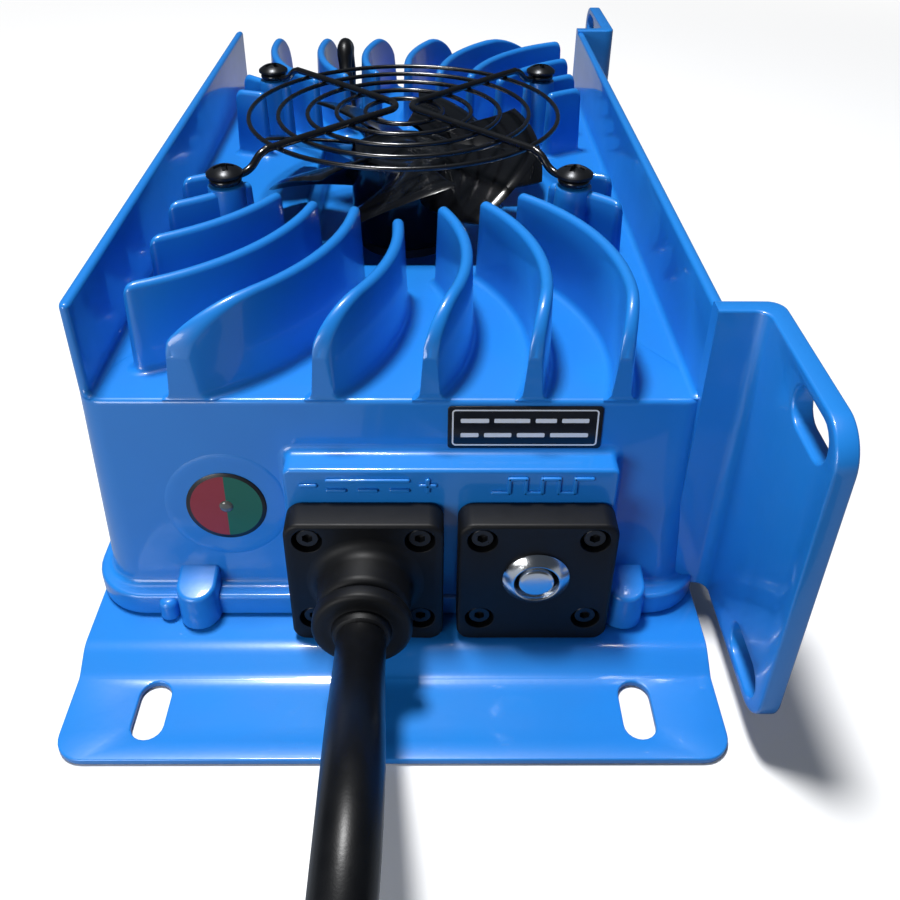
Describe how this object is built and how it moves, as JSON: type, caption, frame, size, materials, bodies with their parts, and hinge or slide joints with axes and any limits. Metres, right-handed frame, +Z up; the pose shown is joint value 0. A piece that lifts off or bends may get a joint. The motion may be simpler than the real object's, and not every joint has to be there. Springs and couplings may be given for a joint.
{
  "type": "fan-cooled battery charger",
  "caption": "Finned cast battery charger with a guarded top fan, push-button, output cord with plug, slotted feet and slotted side ears.",
  "frame": {"origin": "centre of the four foot slots, in the plane the feet rest on", "axes": "+Z up, +Y away from the connector side, +X towards the slotted side ears"},
  "size_m": [0.2296, 0.5674, 0.1085],
  "materials": {
    "blue_paint": "gloss enamel over cast aluminium",
    "gasket_rubber": "matt",
    "zinc_steel": "zinc plated",
    "black_steel": "gloss black",
    "black_oxide": "black oxide",
    "bright_steel": "polished",
    "satin_plastic": "satin",
    "fan_plastic": "gloss",
    "stator_plastic": "satin",
    "indicator_film": "gloss film",
    "label_film": "gloss film",
    "cord_jacket": "satin",
    "plug_plastic": "matt",
    "board": "solder mask",
    "ferrite": "matt",
    "copper_winding": "enamelled",
    "capacitor_sleeve": "gloss",
    "bare_aluminium": "milled"
  },
  "bodies": {
    "charger": {"housing": "blue_paint", "base_gasket": "gasket_rubber", "base_plate": "blue_paint", "base_screws": "zinc_steel", "output_plate": "satin_plastic", "output_plate_screws": "black_oxide", "output_gland": "satin_plastic", "signal_plate": "satin_plastic", "signal_plate_screws": "black_oxide", "button_bezel": "bright_steel", "button_nut": "zinc_steel", "indicator_disc": "indicator_film", "voltage_label": "label_film", "fan_guard": "black_steel", "guard_screws": "black_oxide", "fan_stator": "stator_plastic", "fan_bearings": "zinc_steel", "fan_screws": "zinc_steel", "fan_lead": "cord_jacket", "circuit_board": "board", "board_screws": "zinc_steel", "transformer": "ferrite", "output_choke": "copper_winding", "capacitors": "capacitor_sleeve", "power_transistors": "satin_plastic", "heat_spreader": "bare_aluminium", "input_gland": "satin_plastic", "input_gland_nut": "satin_plastic", "output_cord": "cord_jacket", "output_cord_coil": "cord_jacket", "cord_plug": "plug_plastic"},
    "fan": {"fan_rotor": "fan_plastic", "fan_shaft": "zinc_steel"},
    "button": {"button_cap": "bright_steel"}
  },
  "joints": [
    {"name": "fan_spin", "type": "hinge", "parent": "charger", "child": "fan", "pos_m": [0, 0, 0.07], "axis": [0, 0, 1], "continuous": true},
    {"name": "button_press", "type": "slide", "parent": "charger", "child": "button", "axis": [0, 1, 0], "range_m": [0, 0.0012], "stiffness_N_per_m": 2000, "springref_m": -0.0005}
  ]
}
